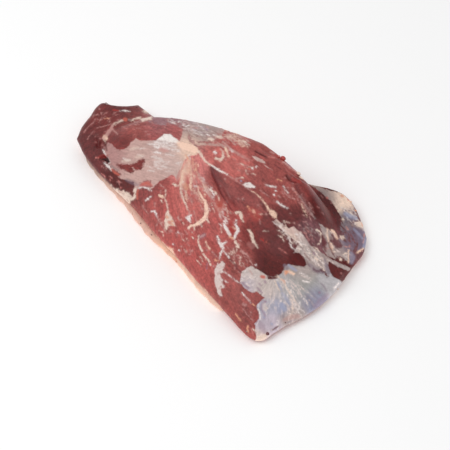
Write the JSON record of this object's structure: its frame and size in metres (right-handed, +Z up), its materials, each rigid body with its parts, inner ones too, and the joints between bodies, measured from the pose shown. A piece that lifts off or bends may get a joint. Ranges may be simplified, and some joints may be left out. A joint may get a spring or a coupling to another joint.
{
  "type": "raw beef outside flat",
  "caption": "Long flat raw beef muscle, narrow at one end and broad at the other, with silverskin and streaks of fat, lying on its own fat cap.",
  "frame": {"origin": "on the table, under the middle of the cut", "axes": "+X from the narrow end to the broad end, +Y from the thin edge that shows the fat cap to the thick edge, +Z up"},
  "size_m": [0.43, 0.238, 0.083],
  "materials": {
    "lean": "moist raw lean with silverskin and streaks of fat",
    "fat": "waxy pale pink fat"
  },
  "bodies": {
    "root": {"lean": "lean", "fat_cap": "fat"}
  },
  "joints": []
}
